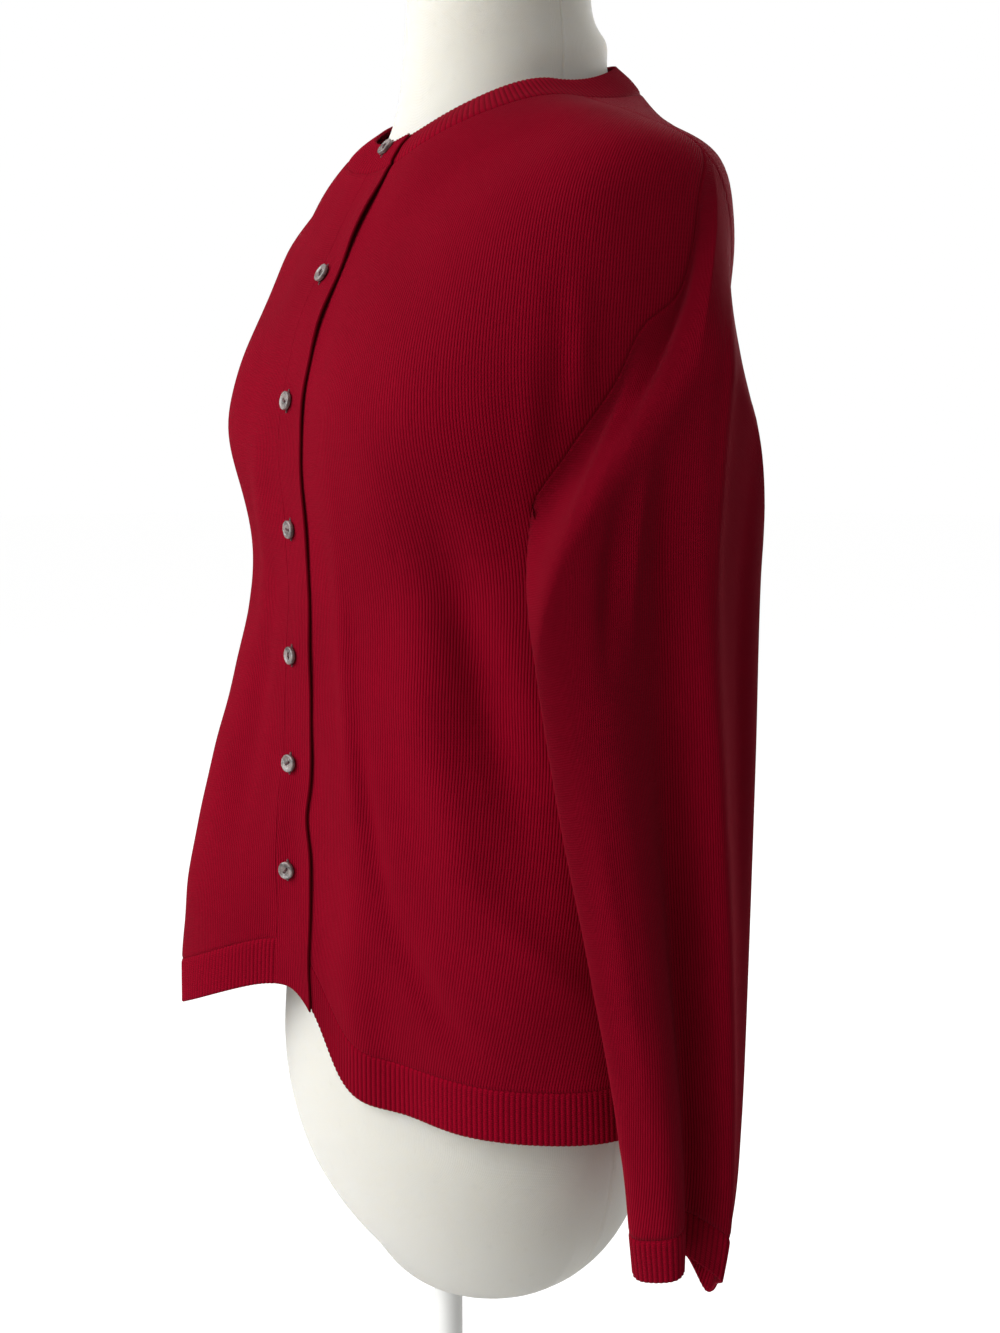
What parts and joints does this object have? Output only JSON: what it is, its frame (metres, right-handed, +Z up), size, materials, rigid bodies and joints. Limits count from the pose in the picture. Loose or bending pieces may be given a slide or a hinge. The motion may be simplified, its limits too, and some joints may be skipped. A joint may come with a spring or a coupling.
{
  "type": "button cardigan on a dress form and stand",
  "caption": "Long-sleeved round-necked knitted button cardigan with ribbed neck, cuffs and hem, worn closed on a limbless dress form that stands on a pole with a round base.",
  "frame": {"origin": "centre of the stand base's underside, on the floor", "axes": "+Z up along the pole; the garment faces -Y, the wearer's left is +X"},
  "size_m": [0.4332, 0.32, 1.2803],
  "materials": {
    "cardigan_knit": "matt fine-gauge plain knit, deep red",
    "cardigan_rib": "matt one-by-one rib, deep red",
    "shell_button": "polished grey shell",
    "form_jersey": "matt cream jersey cover",
    "stand_enamel": "white satin enamel"
  },
  "bodies": {
    "root": {"back": "cardigan_knit", "button_1": "shell_button", "button_2": "shell_button", "button_3": "shell_button", "button_4": "shell_button", "button_5": "shell_button", "button_6": "shell_button", "button_7": "shell_button", "cuff_left": "cardigan_rib", "cuff_right": "cardigan_rib", "form_neck_cap": "stand_enamel", "form_torso": "form_jersey", "front_band_left": "cardigan_knit", "front_band_right": "cardigan_knit", "front_left": "cardigan_knit", "front_right": "cardigan_knit", "hem_rib_back": "cardigan_rib", "hem_rib_front_left": "cardigan_rib", "hem_rib_front_right": "cardigan_rib", "neckband": "cardigan_rib", "sleeve_left": "cardigan_knit", "sleeve_right": "cardigan_knit", "stand_base": "stand_enamel", "stand_pole": "stand_enamel"}
  },
  "joints": []
}
